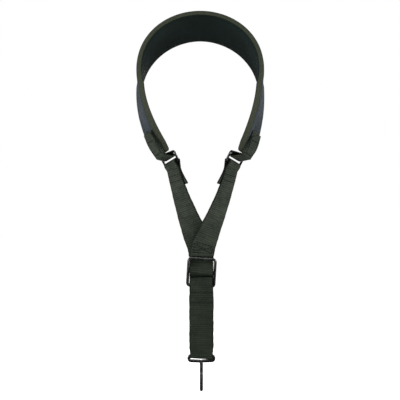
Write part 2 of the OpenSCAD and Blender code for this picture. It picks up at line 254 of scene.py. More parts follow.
# ---------- webbing ----------
def webbing(name, path, start, end, material, sealed=(False, False), cut=(0.0, 0.0)):
    """Ribbed webbing along part of a path. A sealed end is pressed thin; cut slants an end by so many mm."""
    columns = 24
    rows = max(4, int(round((end - start) / (RIB_PITCH / 5)))) + 1
    flat = np.linspace(-0.985, 0.985, columns)
    share = np.concatenate([flat, [0.997, 1.0, 0.997], flat[::-1], [-0.997, -1.0, -0.997]])
    side = np.concatenate([np.ones(columns), [0.62, 0.0, -0.62], -np.ones(columns), [-0.62, 0.0, 0.62]])
    base = np.linspace(start, end, rows)[:, None]
    slant = 0.5 * (share[None] + 1)
    near_start = np.clip(1 - (base - start) / CUT_REACH, 0, 1)
    near_end = np.clip(1 - (end - base) / CUT_REACH, 0, 1)
    v = base + cut[0] * slant * near_start - cut[1] * slant * near_end
    _, _, _, half_w, half_t = path.at(v)
    rib_front = np.abs(np.sin(math.pi * v / RIB_PITCH)) ** 0.7
    rib_back = np.abs(np.cos(math.pi * v / RIB_PITCH)) ** 0.7
    rib = np.where(side[None] > 0, rib_front, rib_back)
    pressed = np.ones_like(v)
    if sealed[0]:
        pressed *= SEAL_THIN + (1 - SEAL_THIN) * np.clip((base - start) / SEAL_LENGTH, 0, 1)
    if sealed[1]:
        pressed *= SEAL_THIN + (1 - SEAL_THIN) * np.clip((end - base) / SEAL_LENGTH, 0, 1)
    edge_band = 1 - 0.22 * np.abs(share[None]) ** 14
    drift = 0.10 * np.sin(0.31 * v + 1.7) + 0.07 * np.sin(0.83 * v)
    across = share[None] * (half_w + 0.10 * (rib_front - 0.5)) + drift
    out = side[None] * pressed * edge_band * (half_t - 0.06 + RIB_HEIGHT * (rib - 0.55))
    strip_map = np.stack([share[None] * half_w, v, np.broadcast_to(side[None], v.shape)], -1)
    return loft(name, path, v, across, out, material, strip_map)


def stitches(name, marks, material, length=2.7, radius=0.34):
    """Threads lying on a face. marks holds (middle, direction, outward) for each stitch."""
    ring, stages = 8, 7
    points, faces = [], []
    for number, (middle, direction, out) in enumerate(marks):
        direction, out = unit(direction), unit(out)
        side = np.cross(direction, out)
        wobble = 0.10 * math.sin(2.4 * number)
        first = len(points)
        for i in range(stages):
            s = -1 + 2 * i / (stages - 1)
            r = radius * (0.30 + 0.70 * math.sqrt(max(0.0, 1 - s * s * 0.96)))
            lift = radius * (0.55 - 1.15 * s * s)
            centre = middle + 0.5 * s * length * unit(direction + wobble * side) + lift * out
            for k in range(ring):
                a = 2 * math.pi * k / ring
                points.append(centre + r * (math.cos(a) * side * 1.15 + math.sin(a) * out))
        faces += tube_faces(stages, ring, first)
    return make_mesh(name, np.array(points), faces, material)


def row_across(f, along, out, count=7, pitch=3.3):
    """Stitch marks in a row across a strip with frame f."""
    return [(f[0] + along * f[1] + k * pitch * f[2] + out * f[3], f[2], f[3])
            for k in np.arange(count) - (count - 1) / 2]


# ---------- bent wire ----------
def rounded(corners, radii, steps=10):
    """The polyline through corners with each inner corner replaced by a round bend."""
    line = [np.array(corners[0], float)]
    for i in range(1, len(corners) - 1):
        p, a, b = (np.array(corners[j], float) for j in (i, i - 1, i + 1))
        start, end = p + radii[i - 1] * unit(a - p), p + radii[i - 1] * unit(b - p)
        line += [(1 - s) ** 2 * start + 2 * s * (1 - s) * p + s * s * end for s in np.linspace(0, 1, steps)]
    return line + [np.array(corners[-1], float)]


def wire(name, line, radius, material, ring=20):
    """A round wire along a line, with rounded ends."""
    line = [np.array(p, float) for p in line]
    keep = [line[0]] + [b for a, b in zip(line, line[1:]) if np.linalg.norm(b - a) > 0.02]
    line = np.array(keep)
    tangent = unit(np.gradient(line, axis=0))
    start, end = line[0], line[-1]
    dome = [(math.sin(a), math.cos(a)) for a in np.radians([0, 30, 55, 78])]
    up = unit(np.cross(tangent[0], [0.31, 0.2, 0.93]))
    rings = [(start - radius * c * tangent[0], tangent[0], radius * max(s, 0.02)) for s, c in dome]
    rings += [(p, t, radius) for p, t in zip(line, tangent)]
    rings += [(end + radius * c * tangent[-1], tangent[-1], radius * max(s, 0.02)) for s, c in dome[::-1]]
    points = []
    for centre, t, r in rings:
        up = unit(up - np.dot(up, t) * t)
        side = np.cross(t, up)
        points += [centre + r * (math.cos(a) * up + math.sin(a) * side)
                   for a in np.linspace(0, 2 * math.pi, ring, endpoint=False)]
    return make_mesh(name, np.array(points), tube_faces(len(rings), ring), material, crease=80)


# ---------- materials ----------
def srgb(r, g, b):
    """An 8-bit screen colour as linear light."""
    return [*(((c / 255 + 0.055) / 1.055) ** 2.4 if c > 10 else c / 255 / 12.92 for c in (r, g, b)), 1.0]


class Shader:
    """A node material, put together with short calls."""

    def __init__(self, name):
        self.material = bpy.data.materials.new(name)
        self.material.use_nodes = True
        self.tree = self.material.node_tree
        self.surface = self.tree.nodes["Principled BSDF"]
        self.texture_space = self.node("ShaderNodeTexCoord").outputs["Object"]

    def feed(self, socket, value):
        if isinstance(value, bpy.types.NodeSocket):
            self.tree.links.new(value, socket)
        else:
            socket.default_value = value

    def node(self, kind, settings=None, **inputs):
        made = self.tree.nodes.new(kind)
        for key, value in (settings or {}).items():
            setattr(made, key, value)
        for key, value in inputs.items():
            self.feed(made.inputs[key.replace("_", " ")], value)
        return made

    def math(self, operation, a, b=0.0):
        made = self.node("ShaderNodeMath", {"operation": operation})
        self.feed(made.inputs[0], a)
        self.feed(made.inputs[1], b)
        return made.outputs[0]

    def noise(self, coordinates, scale, detail=3.0, roughness=0.55):
        return self.node("ShaderNodeTexNoise", Vector=coordinates, Scale=scale, Detail=detail,
                         Roughness=roughness).outputs["Fac"]

    def span(self, value, low, high, to_low=0.0, to_high=1.0):
        made = self.node("ShaderNodeMapRange", Value=value)
        for key, number in (("From Min", low), ("From Max", high), ("To Min", to_low), ("To Max", to_high)):
            made.inputs[key].default_value = number
        return made.outputs["Result"]

    def blend(self, share, a, b):
        made = self.node("ShaderNodeMix", {"data_type": "RGBA"})
        self.feed(made.inputs[0], share)
        self.feed(made.inputs[6], a)
        self.feed(made.inputs[7], b)
        return made.outputs[2]

    def strip(self):
        """(across, along, whole vector) of the strip map, in millimetres."""
        vector = self.node("ShaderNodeAttribute", {"attribute_name": "strip_map"}).outputs["Vector"]
        parts = self.node("ShaderNodeSeparateXYZ", Vector=vector)
        return parts.outputs["X"], parts.outputs["Y"], vector

    def wave(self, value, pitch):
        """0 in the valleys and 1 on the crests of rounded ridges `pitch` apart."""
        return self.math("ABSOLUTE", self.math("SINE", self.math("MULTIPLY", value, math.pi / pitch)))

    def finish(self, colour, roughness, height=None, depth=0.1, **inputs):
        self.feed(self.surface.inputs["Base Color"], colour)
        self.feed(self.surface.inputs["Roughness"], roughness)
        if height is not None:
            bump = self.node("ShaderNodeBump", Height=height, Distance=depth * MM, Strength=1.0)
            self.feed(self.surface.inputs["Normal"], bump.outputs["Normal"])
        for key, value in inputs.items():
            self.feed(self.surface.inputs[key.replace("_", " ")], value)
        return self.material


def webbing_material(name, groove, crest, worn):
    """Woven nylon: staggered warp yarns over cross ribs, with fibre noise and faded patches. Painted shade
    darkens the weave's valleys and the strip's edges.
    """
    s = Shader(name)
    across, along, vector = s.strip()
    column = s.math("FLOOR", s.math("DIVIDE", across, YARN_PITCH))
    stagger = s.math("MULTIPLY", s.math("PINGPONG", column, 1.0), RIB_PITCH / 2)
    rib = s.wave(along, RIB_PITCH)
    float_rib = s.wave(s.math("ADD", along, stagger), RIB_PITCH)
    yarn = s.wave(across, YARN_PITCH)
    fibre = s.noise(s.node("ShaderNodeMapping", Vector=vector, Scale=(5.0, 1.1, 1.0)).outputs[0], 1.0)
    streak = s.noise(s.node("ShaderNodeMapping", Vector=vector, Scale=(0.05, 0.60, 1.0)).outputs[0], 1.0)
    edge_band = s.span(s.math("ABSOLUTE", across, 0.0), 10.9, 12.3)
    weave = s.math("ADD", s.math("MULTIPLY", rib, 0.45),
                   s.math("MULTIPLY", s.math("MULTIPLY", float_rib, yarn), 0.55))
    height = s.math("ADD", weave, s.math("MULTIPLY", fibre, 0.35))
    patches = s.span(s.noise(s.texture_space, 70.0), 0.38, 0.66)
    # Painted shade: the weave's low parts take the darker groove colour.
    colour = s.blend(s.span(height, 0.30, 1.05), groove, crest)
    colour = s.blend(s.math("MULTIPLY", patches, 0.35), colour, worn)
    colour = s.blend(s.math("MULTIPLY", s.span(streak, 0.40, 0.66), 0.34), colour, groove)
    # Painted shade: the strip darkens towards the groove colour along its edges.
    colour = s.blend(s.math("MULTIPLY", edge_band, 0.75), colour, groove)
    return s.finish(colour, s.span(fibre, 0.3, 0.7, 0.72, 0.92), height, 0.16, Specular_IOR_Level=0.10)


def thread_material(name, dark, light):
    """Waxed thread with the twist of its plies."""
    s = Shader(name)
    ply = s.node("ShaderNodeTexWave", {"wave_type": "BANDS", "bands_direction": "DIAGONAL"},
                 Vector=s.texture_space, Scale=900.0, Distortion=1.5).outputs["Fac"]
    fuzz = s.noise(s.texture_space, 2500.0)
    colour = s.blend(s.math("MULTIPLY", ply, fuzz), dark, light)
    return s.finish(colour, s.span(fuzz, 0.3, 0.7, 0.45, 0.7), ply, 0.08, Specular_IOR_Level=0.15)


def foam_material(name, dark, light, seam):
    """The cut edge of a foam pad: pores of two sizes and a soft uneven tone."""
    s = Shader(name)
    _, along, _ = s.strip()
    cells = s.node("ShaderNodeTexVoronoi", {"feature": "F1"}, Vector=s.texture_space, Scale=1300.0)
    pores = cells.outputs["Distance"]
    grain = s.noise(s.texture_space, 1800.0, 4.0)
    tone = s.noise(s.texture_space, 60.0)
    colour = s.blend(s.span(s.math("ADD", pores, s.math("MULTIPLY", grain, 0.6)), 0.3, 1.0), dark, light)
    colour = s.blend(s.span(tone, 0.35, 0.7, 0.0, 0.45), colour, seam)
    return s.finish(colour, 0.9, s.math("ADD", pores, grain), 0.22, Specular_IOR_Level=0.06)


def knit_material(name, groove, crest, painted_sheen, pitch, sheen):
    """Fine jersey: rows of small slanted loops, and broad random clouds of a lighter, bluer colour that is
    painted sheen.
    """
    s = Shader(name)
    across, along, vector = s.strip()
    slant = s.math("MULTIPLY", s.wave(across, pitch), 0.35 * pitch)
    course = s.wave(s.math("ADD", along, slant), pitch * 0.8)
    wale = s.wave(across, pitch)
    loops = s.math("MULTIPLY", s.math("ADD", course, 0.25), wale)
    lint = s.noise(s.texture_space, 1500.0, 4.0)
    height = s.math("ADD", loops, s.math("MULTIPLY", lint, 0.5))
    cloud = s.noise(s.texture_space, 45.0, 4.0)
    colour = s.blend(s.span(height, 0.2, 1.4), groove, crest)
    # Painted sheen: the lighter bluish colour is laid on in random clouds.
    colour = s.blend(s.span(cloud, 0.36, 0.68, 0.0, 0.55), colour, painted_sheen)
    return s.finish(colour, s.span(lint, 0.3, 0.7, 0.78, 0.95), height, 0.10,
                    Sheen_Weight=sheen, Sheen_Roughness=0.4, Specular_IOR_Level=0.05)


def coated_wire_material(name, base, rub):
    """Black coated steel wire: satin, with fine scratches, and rubbed lighter in places."""
    s = Shader(name)
    stretched = s.node("ShaderNodeMapping", Vector=s.texture_space, Scale=(900.0, 900.0, 120.0)).outputs[0]
    scratch = s.noise(stretched, 1.0, 5.0, 0.7)
    cloud = s.noise(s.texture_space, 160.0, 4.0)
    rubbed = s.math("MULTIPLY", s.span(cloud, 0.50, 0.66), s.span(scratch, 0.40, 0.62))
    colour = s.blend(rubbed, base, rub)
    return s.finish(colour, s.span(scratch, 0.3, 0.7, 0.25, 0.32), scratch, 0.002, Specular_IOR_Level=0.9,
                    Coat_Weight=0.4, Coat_Roughness=0.2)


OLIVE_WEB = webbing_material("olive_webbing", srgb(10, 14, 10), srgb(49, 56, 47), srgb(58, 63, 52))
# Painted shade: the strap's webbing is a darker copy of the olive webbing, for the strap, which faces the side
# lights less than the legs do.
SHADED_STRAP_WEB = webbing_material("shaded_olive_webbing", srgb(7, 11, 7), srgb(37, 45, 35), srgb(43, 49, 39))
THREAD = thread_material("dark_thread", srgb(10, 12, 10), srgb(30, 34, 29))
FOAM = foam_material("foam_edge", srgb(28, 31, 23), srgb(52, 56, 45), srgb(46, 48, 40))
# Painted sheen: the outer skin is the lining's fabric painted lighter and bluer all over.
OUTER_KNIT = knit_material("outer_knit", srgb(20, 24, 26), srgb(41, 47, 51), srgb(50, 56, 64), 1.1, 0.05)
INNER_KNIT = knit_material("inner_lining", srgb(5, 10, 8), srgb(17, 27, 22), srgb(14, 25, 26), 1.0, 0.02)
BLACK_WIRE = coated_wire_material("black_coated_wire", srgb(12, 13, 12), srgb(58, 60, 58))


# ---------- neck pad ----------
def pad_path(rows=161):
    stations = []
    for s in np.linspace(-PAD_TO, PAD_TO, 2 * rows - 1):
        f = pad_frame(LEFT if s < 0 else RIGHT, abs(s))
        stations.append(station(f, half_w=pad_width(abs(s)) / 2, half_t=PAD_T / 2))
    return Path(stations)


PAD = pad_path()
PAD_CORNER = 4.0
SEAM_V = PAD.length / 2 - 0.8

# The cloth simulation: its grid, its frames, its units per millimetre, and what the tabs hold down
PUFF_COLUMNS, CLOTH_STEPS, CLOTH_SCALE = 15, 24, 0.1
UNDER_TAB_LENGTH, UNDER_TAB_HALF_W = 40.0, 13.5


def pad_rows(count):
    """Lengths along the pad, closer together at its rounded ends."""
    ends = PAD_CORNER * np.array([0.0, 0.03, 0.1, 0.22, 0.4, 0.65])
    middle = np.linspace(PAD_CORNER, PAD.length - PAD_CORNER, count)
    return np.concatenate([ends, middle, PAD.length - ends[::-1]])


def plan_half_width(v):
    """Half width of the pad, with its end corners rounded off."""
    half = PAD.at(v)[3]
    gap = np.clip(PAD_CORNER - np.minimum(v, PAD.length - v), 0, PAD_CORNER)
    return half - PAD_CORNER + np.sqrt(np.maximum(PAD_CORNER ** 2 - gap ** 2, 0))


def rim_inset(v):
    """How far the outer skin stops short of the near edge, where the foam rounds over beside the tabs."""
    from_end = np.minimum(v, PAD.length - v)
    share = np.clip((100 - from_end) / 48, 0, 1)
    return 0.2 + 3.8 * share * share * (3 - 2 * share)


def rim_level(share):
    """Half thickness of the foam: it fills more of the pad at the rims, where the skins are pressed thin."""
    return PAD_T / 2 - SKIN_T + 0.02 + (SKIN_T - 0.28) * np.abs(share) ** 24


def cloth_puff(v, sign, slack, pressure, cap):
    """How far a skin rises off the foam, from a short cloth simulation pinned at its sewn edges."""
    columns = PUFF_COLUMNS
    share = np.linspace(-1, 1, columns)
    half = plan_half_width(v)
    centre, width, face, _, _ = PAD.at(np.repeat(v[:, None], columns, 1))
    rest = centre + (share[None] * half[:, None])[..., None] * width
    faces = []
    for i in range(len(v) - 1):
        for k in range(columns - 1):
            a = i * columns + k
            quad = (a, a + 1, a + columns + 1, a + columns)
            faces.append(quad if sign > 0 else quad[::-1])
    mesh = bpy.data.meshes.new("cloth_sheet")
    mesh.from_pydata((rest.reshape(-1, 3) * CLOTH_SCALE).tolist(), [], faces)
    first = mesh.polygons[len(faces) // 2].normal
    if np.dot(np.array(first), face[len(v) // 2, columns // 2]) * sign < 0:
        mesh.flip_normals()
    sheet = bpy.data.objects.new("cloth_sheet", mesh)
    bpy.context.scene.collection.objects.link(sheet)
    pins = sheet.vertex_groups.new(name="sewn")
    from_end = np.minimum(v, PAD.length - v)
    for i in range(len(v)):
        for k in range(columns):
            sewn = k in (0, columns - 1) or i in (0, len(v) - 1)
            in_line = abs(share[k]) * half[i] < UNDER_TAB_HALF_W
            under_tab = sign > 0 and from_end[i] < UNDER_TAB_LENGTH and in_line
            if sewn or under_tab:
                pins.add([i * columns + k], 1.0, "REPLACE")
    cloth = sheet.modifiers.new("cloth", "CLOTH")
    settings = cloth.settings
    settings.quality = 6
    settings.mass = 0.2
    settings.tension_stiffness = settings.compression_stiffness = 25
    settings.bending_stiffness = 1.2
    settings.vertex_group_mass = "sewn"
    settings.shrink_min = -slack
    settings.use_pressure = True
    settings.uniform_pressure_force = pressure
    settings.effector_weights.gravity = 0.0
    cloth.collision_settings.use_collision = False
    cloth.point_cache.frame_start, cloth.point_cache.frame_end = 1, CLOTH_STEPS
    scene = bpy.context.scene
    for step in range(1, CLOTH_STEPS + 1):
        scene.frame_set(step)
    depsgraph = bpy.context.evaluated_depsgraph_get()
    vertices = sheet.evaluated_get(depsgraph).data.vertices
    moved = np.array([p.co for p in vertices], float).reshape(rest.shape) / CLOTH_SCALE
    scene.frame_set(1)
    bpy.data.objects.remove(sheet)
    rise = ((moved - rest) * face).sum(-1) * sign
    return share, cap * np.tanh(np.nan_to_num(rise) / cap)


def pad_skin(name, sign, material, puff):
    """One fabric skin of the pad, lifted off the foam by the simulated puff."""
    share, rise = puff
    v_line = pad_rows(260)
    columns = 33
    flat = np.sin(np.linspace(-1, 1, columns) * math.pi / 2)
    rows = np.stack([np.interp(flat, share, row) for row in rise])
    lift = np.concatenate([rows, np.zeros((len(rows), 1)), rows[:, ::-1] * 0.9, np.zeros((len(rows), 1))], 1)
    ring_share = np.concatenate([flat, [1.0], flat[::-1], [-1.0]])[None]
    top = np.concatenate([np.ones(columns), [0.5], np.zeros(columns), [0.5]])[None]
    edge = np.concatenate([np.zeros(columns), [0.10], np.zeros(columns), [-0.10]])[None]
    v = np.repeat(v_line[:, None], ring_share.size, 1)
    half = plan_half_width(v) - 0.15
    inset = rim_inset(v) * (sign > 0)
    across = ring_share * half - inset * (ring_share + 1) / 2 + edge
    low = rim_level(ring_share)
    out = sign * (low + (PAD_T / 2 - low) * top + lift)
    strip_map = np.stack([across, v, np.full(v.shape, float(sign))], -1)
    return loft(name, PAD, v, across, out, material, strip_map)


def pad_foam(name, material):
    """The foam core, bulging a little between the skins, with a butted seam at the back of the neck."""
    v_line = pad_rows(420)
    bend, face = 11, 25
    arc = np.radians(np.linspace(90, -90, bend))
    flat = np.linspace(-1, 1, face)
    ring_share = np.concatenate([flat, np.ones(bend), flat[::-1], -np.ones(bend)])[None]
    level = np.concatenate([np.ones(face), np.sin(arc), -np.ones(face), -np.sin(arc)])[None]
    near_swell = np.concatenate([np.zeros(face), np.cos(arc), np.zeros(face + bend)])[None]
    far_swell = np.concatenate([np.zeros(2 * face + bend), np.cos(arc)])[None]
    v = np.repeat(v_line[:, None], ring_share.size, 1)
    seam = 1 - 0.9 * np.exp(-((v - SEAM_V) / 0.55) ** 2)
    wave = 1 + 0.12 * np.sin(0.21 * v) + 0.08 * np.sin(0.57 * v + 1.0)
    inset = rim_inset(v) * (ring_share + 1) / 2 * (level + 1) / 2
    across = ring_share * (plan_half_width(v) - 0.25) - inset + (near_swell - far_swell) * 0.6 * seam * wave
    nick = 0.5 * np.exp(-((v - SEAM_V) / 0.5) ** 2) * np.clip(ring_share, 0, 1) ** 8
    out = level * (rim_level(ring_share) - nick)
    strip_map = np.stack([across, v, level * np.ones_like(v)], -1)
    return loft(name, PAD, v, across, out, material, strip_map)


def build_pad():
    v_line = pad_rows(260)
    outer_puff = cloth_puff(v_line, 1, 0.02, 3.0, 0.9)
    inner_puff = cloth_puff(v_line, -1, 0.01, 2.0, 0.6)
    core = pad_foam("pad_foam_edge", FOAM)
    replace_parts(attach(core, "neck_pad"), "pad_foam_core")
    outer = pad_skin("pad_outer_knit", 1, OUTER_KNIT, outer_puff)
    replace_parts(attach(outer, "neck_pad"), "pad_outer_cover")
    inner = pad_skin("pad_inner_fabric", -1, INNER_KNIT, inner_puff)
    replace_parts(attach(inner, "neck_pad"), "pad_inner_lining")


# ---------- anchor tabs ----------
# A tab's width at the ring, its height over the pad, its thread's height, how far it lies towards the pad's
# near edge at the ring and in the turn, and the thread's distance from its edge
TAB_NECK = 20.6
TAB_OUT = PAD_T / 2 + 0.25 + WEB_T / 2
TAB_STITCH_OUT = TAB_OUT + 2 * LAYER + WEB_T / 2
TAB_ASIDE, TURN_ASIDE = 2.0, 1.2
TAB_HEM = 1.8


def dipped(f, angle):
    """Frame f turned about its width, so that it heads inwards by `angle`."""
    c, n = math.cos(math.radians(angle)), math.sin(math.radians(angle))
    return f[0], c * f[1] - n * f[3], f[2], c * f[3] + n * f[1]


def further(f, distance):
    """Frame f moved along its strip."""
    return (f[0] + distance * f[1], *f[1:])


def shifted(row, aside):
    """A station moved across its strip."""
    return (row[0] + aside * row[1], *row[1:])


def tab_place(t, near, sway):
    """(shift towards the pad's near edge, half width) of a tab, drawn together on its way to the ring."""
    left_to_go = PAD_TO - t
    aside = mix(TAB_ASIDE, near, ease(left_to_go / 0.2)) + sway * ease(left_to_go / 0.4)
    return aside, mix(TAB_NECK / 2, WEB_W / 2, ease(left_to_go / 0.3))


def tab_path(side, near, sway):
    """Down the pad, past its end, round the ring's upper bar and back up on top of itself.
    The tab lies `near` mm towards the pad's near edge, and its free end is swayed a little further."""
    places = [(pad_frame(side, t), *tab_place(t, near, sway)) for t in np.linspace(TAB_FROM, PAD_TO, 40)]
    last, aside, half = places[-1]
    ring = ring_frame(side)
    bar = (ring[0] - RING_BAR * ring[1], *ring[1:])
    down = [shifted(station(f, TAB_OUT, half_w=h), a) for f, a, h in places]
    down.append(shifted(station(further(last, 0.7), TAB_OUT, half_w=half), aside))
    turn = half_turn(dipped(bar, TAB_DIP), 0.0, 1, face=-1)
    turn = [shifted((c, w, n, half, half_t), TURN_ASIDE) for c, w, n, _, half_t in turn]
    upper = TAB_OUT + 2 * LAYER
    up = [shifted(station(further(last, 1.2), upper, half_w=half, face=-1), aside)]
    up += [shifted(station(f, upper, half_w=h, face=-1), a) for f, a, h in places[::-1]]
    return Path(down + turn + up)


def build_tab(side, label, near, sway, cut):
    """A tab with its thread. Its free end is cut `cut` mm out of square."""
    path = tab_path(side, near, sway)
    body = webbing(label + "_tab_webbing", path, 0.0, path.length - 1.5, OLIVE_WEB, sealed=(True, True),
                   cut=(0.0, cut))
    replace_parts(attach(body, "neck_pad"), label + "_anchor_tab")
    marks = []
    for t in (TAB_FROM + 0.12, PAD_TO - 0.05):
        f = pad_frame(side, t)
        marks += row_across((f[0] + tab_place(t, near, sway)[0] * f[2], *f[1:]), 0, TAB_STITCH_OUT,
                            pitch=2.9)
    for edge in (-1, 1):
        for t in np.arange(TAB_FROM + 0.155, PAD_TO - 0.07, 0.038):
            f = pad_frame(side, t)
            aside, half = tab_place(t, near, sway)
            across = edge * (half - TAB_HEM) + aside
            marks.append((f[0] + across * f[2] + TAB_STITCH_OUT * f[3], f[1], f[3]))
    thread = stitches(label + "_tab_threads", marks, THREAD)
    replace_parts(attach(thread, "neck_pad"), label + "_tab_stitching")


# ---------- ring folds and legs: one webbing from the fold's tail round the ring to the slider ----------
# How far a fold's tail shows beside its leg, and how much further down it runs
TAIL_POKE, TAIL_EXTRA = 3.2, 0.018

# Below the yoke: where the left leg runs straight down, how far its path goes on unused,
# and where the right leg ends
STRAIGHT_Z, OVERRUN, RIGHT_END_Z = 134.6, 4.6, 135.7


def leg_path(side):
    """(stations, length at the end of the ring fold)."""
    marks = np.linspace(FOLD_FROM, FOLD_TO, 30)
    tail_to = FOLD_TO + TAIL_EXTRA
    rows = []
    for t in np.linspace(tail_to, FOLD_FROM, 34):
        c, w, n, half_w, half_t = station(leg_frame(side, t), -LAYER, face=-1)
        rows.append((c + TAIL_POKE * ease((t - FOLD_FROM) / (tail_to - FOLD_FROM)) * w, w, n, half_w, half_t))
    rows += half_turn(ring_frame(side), RING_BAR, -1)
    rows += [station(leg_frame(side, t), LAYER) for t in marks]
    fold_end = Path(rows).length
    for t in np.linspace(FOLD_TO, 0.985, 90)[1:]:
        rows.append(station(leg_frame(side, t), float(mix(LAYER, 0, ease(1.8 * (t - FOLD_TO))))))
    return rows, fold_end


def strap_stations(points, widths, thickness=WEB_T, tilts=None):
    """Stations of a strip through (y, z) points. Its width lies along X, tilted down to the right by tilts."""
    points = np.array(points, float)
    tangent = unit(np.gradient(points, axis=0))
    angles = np.radians(np.zeros(len(points)) if tilts is None else tilts)
    return [((0.0, p[0], p[1]), (math.cos(a), 0.0, -math.sin(a)), (0.0, t[1], -t[0]), w / 2, thickness / 2)
            for p, t, w, a in zip(points, tangent, widths, angles)]


def smooth_line(points, steps=8):
    """A rounded curve through 2-D points."""
    p = np.array([points[0], *points, points[-1]], float)
    line = []
    for i in range(1, len(p) - 2):
        for s in np.linspace(0, 1, steps, endpoint=False):
            line.append(0.5 * (2 * p[i] + (p[i + 1] - p[i - 1]) * s
                               + (2 * p[i - 1] - 5 * p[i] + 4 * p[i + 1] - p[i + 2]) * s ** 2
                               + (3 * p[i] - p[i - 1] - 3 * p[i + 1] + p[i + 2]) * s ** 3))
    return np.array(line + [p[-1]])


# Thickness of the spare webbing that lies inside the webbing below
UNDER_T = 1.15

# The webbing's way through the slider, from the back run up to the upper run: (y, z)
WEAVE_LINE = [
    (BACK_Y, BACK_TOP_Z), (BACK_Y + 0.1, 108.0), (9.3, 112.0), (7.4, 115.0), (3.6, 117.9), (3.0, 120.3),
    (4.3, 123.2), (6.9, 126.4), (RUN_Y, 129.2)]
BACK_LINE = [(EYE_Y + EYE_TURN, RUN_BOTTOM_Z), (BACK_Y, BACK_TOP_Z)]


def build_leg(side, label):
    rows, fold_end = leg_path(side)
    if side == LEFT:
        rows += strap_stations([(RUN_Y, STRAIGHT_Z), (RUN_Y, STRAIGHT_Z - OVERRUN)], [WEB_W] * 2)
        rows[-2:] = [((-0.4 * k, *row[0][1:]), *row[1:]) for k, row in zip((1, 0), rows[-2:])]
    else:
        centre, _, out, half_w, half_t = rows[-1]
        rows.append(((0.3, centre[1], RIGHT_END_Z), (-1.0, 0.0, 0.0), out, half_w, half_t))
    path = Path(rows)
    foot = path.length if side == RIGHT else path.length - OVERRUN
    fold = webbing(label + "_fold_webbing", path, 0.0, fold_end, OLIVE_WEB, sealed=(True, False))
    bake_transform(fold)
    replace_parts(fold, label + "_ring_fold")
    marks = []
    for share in (0.55, 0.85):
        marks += row_across(leg_frame(side, share * FOLD_TO), 0, LAYER + WEB_T / 2)
    thread = stitches(label + "_fold_threads", marks, THREAD)
    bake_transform(thread)
    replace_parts(thread, label + "_fold_stitching")
    leg = webbing(label + "_leg_webbing", path, fold_end, foot, OLIVE_WEB, sealed=(False, side == RIGHT))
    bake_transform(leg)
    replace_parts(leg, label + "_leg")


def on_yoke(across, t):
    """(place, outward) on the face of the right leg."""
    f = leg_frame(RIGHT, t)
    return f[0] + across * f[2] + WEB_T / 2 * f[3], f[3]


def yoke_seam(start, end, count):
    """Stitch marks between two [place across, place down] points of the right leg."""
    marks = []
    for k in range(count):
        ends = [mix(start, end, (k + share) / count) for share in (0.2, 0.5, 0.8)]
        (first, _), (middle, out), (last, _) = (on_yoke(float(a), float(t)) for a, t in ends)
        marks.append((middle, last - first, out))
    return marks


def build_yoke_stitching():
    """A box with a cross in it, through both legs."""
    half, top, foot = 9.8, 0.77, 0.965
    cross, margin = 8.6, 0.02
    marks = yoke_seam((-half, top), (half, top), 6) + yoke_seam((-half, foot), (half, foot), 6)
    for x in (-half, half):
        marks += yoke_seam((x, top + margin), (x, foot - margin), 3)
    for x in (-cross, cross):
        marks += yoke_seam((x, top + margin), (-x, foot - margin), 6)
    thread = stitches("yoke_threads", marks, THREAD)
    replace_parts(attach(thread, "yoke"), "yoke_stitching")


def bump(z, middle, reach):
    """1 at `middle`, fading out over `reach`."""
    return math.exp(-((z - middle) / reach) ** 2)


def build_upper_run():
    """The strap above the slider. Its spare length lies inside the webbing below until the slider sinks."""
    weave = smooth_line(WEAVE_LINE)[::-1]
    tilts = [BAR_TILT * bump(z, CENTER_BAR_Z, 4.5) for _, z in weave[1:]]
    back = [(9.2, 90.0), (9.0, 70.0), (8.2, 58.0), (RUN_Y, 52.0)]
    heights = (STRAIGHT_Z + 2.0, STRAIGHT_Z, STRAIGHT_Z - 4.0)
    visible = strap_stations([(RUN_Y, z) for z in heights], [WEB_W] * 3)
    lower = smooth_line(back)
    widths = [WEB_W - 0.9] * (len(weave) + len(lower))
    spare = strap_stations([(RUN_Y, 129.6), *weave[1:], *lower], widths, UNDER_T,
                           [0.0, *tilts, *np.zeros(len(lower))])
    path = Path(visible + spare)
    run = webbing("upper_run_webbing", path, 0.0, path.length, SHADED_STRAP_WEB)
    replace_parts(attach(run, "yoke"), "strap_upper_run")
    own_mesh(run)


# ---------- strap below the slider: one webbing from its sewn tail to the weave ----------
FOLD_BAR_Z = 110.4
FOLD_OUT = 2.45
BAR_TILT, EYE_TILT, FOLD_TILT = 7.0, 4.0, 2.5
EYE_SAG = 0.2
FOLD_STITCH_Z, STITCH_PITCH = (98.3, 88.0), 3.3


